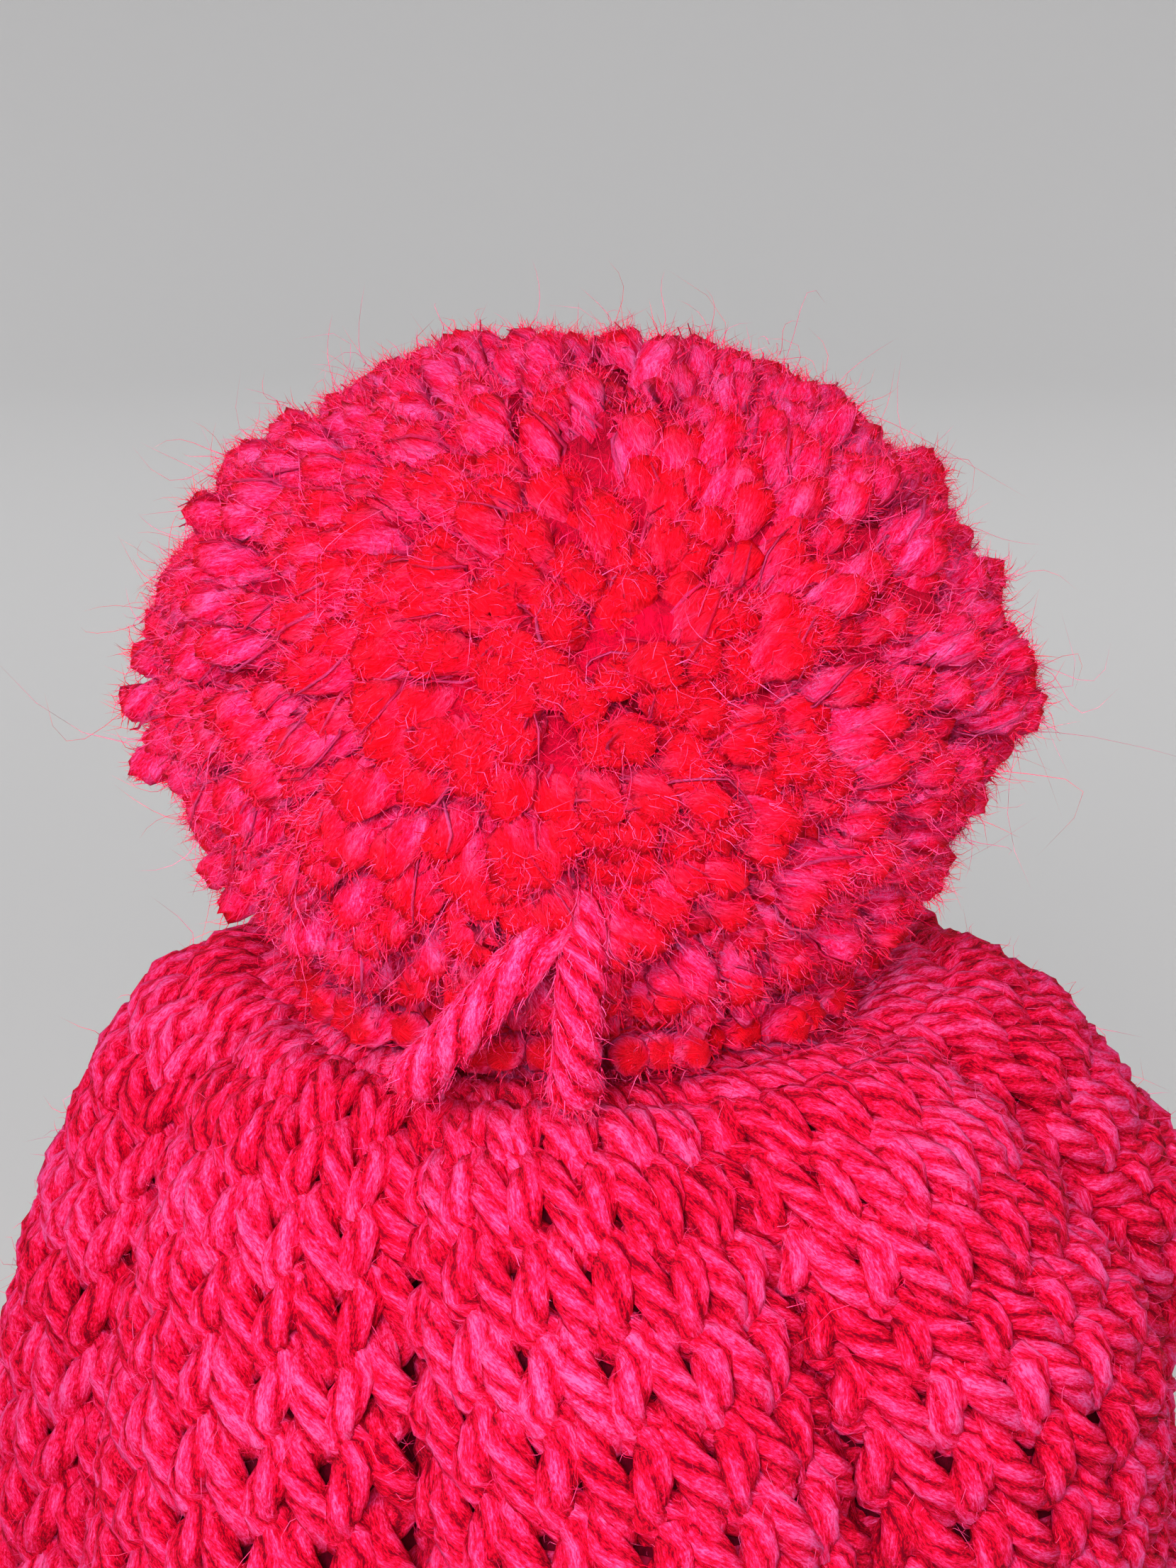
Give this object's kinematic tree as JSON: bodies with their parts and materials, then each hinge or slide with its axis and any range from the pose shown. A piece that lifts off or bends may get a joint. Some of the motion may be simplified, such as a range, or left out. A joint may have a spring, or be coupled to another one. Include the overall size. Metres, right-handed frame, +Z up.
{
  "type": "pom pom beanie",
  "caption": "Chunky hand-knitted beanie with a gathered, lobed crown, a turned-up ribbed cuff and a big yarn pom tied on top.",
  "frame": {"origin": "centre of the brim's lowest plane, where the hat stands", "axes": "+Z up through the crown and the pom, -Y towards the front, +X to the right as seen from the front"},
  "size_m": [0.1878, 0.189, 0.2695],
  "materials": {
    "hat_yarn": "matte",
    "cuff_yarn": "matte",
    "tie_yarn": "matte",
    "pom_yarn": "matte"
  },
  "bodies": {
    "brim": {"brim_fold": "cuff_yarn", "cuff_outer": "cuff_yarn"},
    "crown": {"crown_knit": "hat_yarn", "gather_cord": "tie_yarn", "gather_tail": "tie_yarn", "cast_on_tail": "hat_yarn"},
    "knot": {"inside_knot": "tie_yarn", "knot_tail_left": "tie_yarn", "knot_tail_right": "tie_yarn"},
    "tie": {"pom_tie_left": "tie_yarn", "pom_tie_right": "tie_yarn"},
    "pom": {"pom_core": "tie_yarn", "binding_wrap": "tie_yarn", "pom_bundle_top": "pom_yarn", "pom_bundle_upper_1": "pom_yarn", "pom_bundle_upper_2": "pom_yarn", "pom_bundle_upper_3": "pom_yarn", "pom_bundle_upper_4": "pom_yarn", "pom_bundle_upper_5": "pom_yarn", "pom_bundle_side_1": "pom_yarn", "pom_bundle_side_2": "pom_yarn", "pom_bundle_side_3": "pom_yarn", "pom_bundle_side_4": "pom_yarn", "pom_bundle_side_5": "pom_yarn", "pom_bundle_side_6": "pom_yarn", "pom_bundle_lower_1": "pom_yarn", "pom_bundle_lower_2": "pom_yarn", "pom_bundle_lower_3": "pom_yarn", "pom_bundle_lower_4": "pom_yarn"}
  },
  "joints": [
    {"name": "cuff_unroll", "type": "slide", "parent": "brim", "child": "crown", "axis": [0, 0, 1], "range_m": [0, 0.03], "deforming": ["cuff_outer"]},
    {"name": "pom_tilt_front", "type": "hinge", "parent": "crown", "child": "knot", "pos_m": [0, 0, 0.195], "axis": [1, 0, 0], "range_deg": [-10, 10], "stiffness_Nm_per_rad": 0.12},
    {"name": "pom_tilt_side", "type": "hinge", "parent": "knot", "child": "tie", "pos_m": [0, 0, 0.195], "axis": [0, 1, 0], "range_deg": [-10, 10], "stiffness_Nm_per_rad": 0.12},
    {"name": "pom_twist", "type": "hinge", "parent": "tie", "child": "pom", "pos_m": [0, 0, 0.195], "axis": [0, 0, 1], "range_deg": [-40, 40], "stiffness_Nm_per_rad": 0.02}
  ]
}
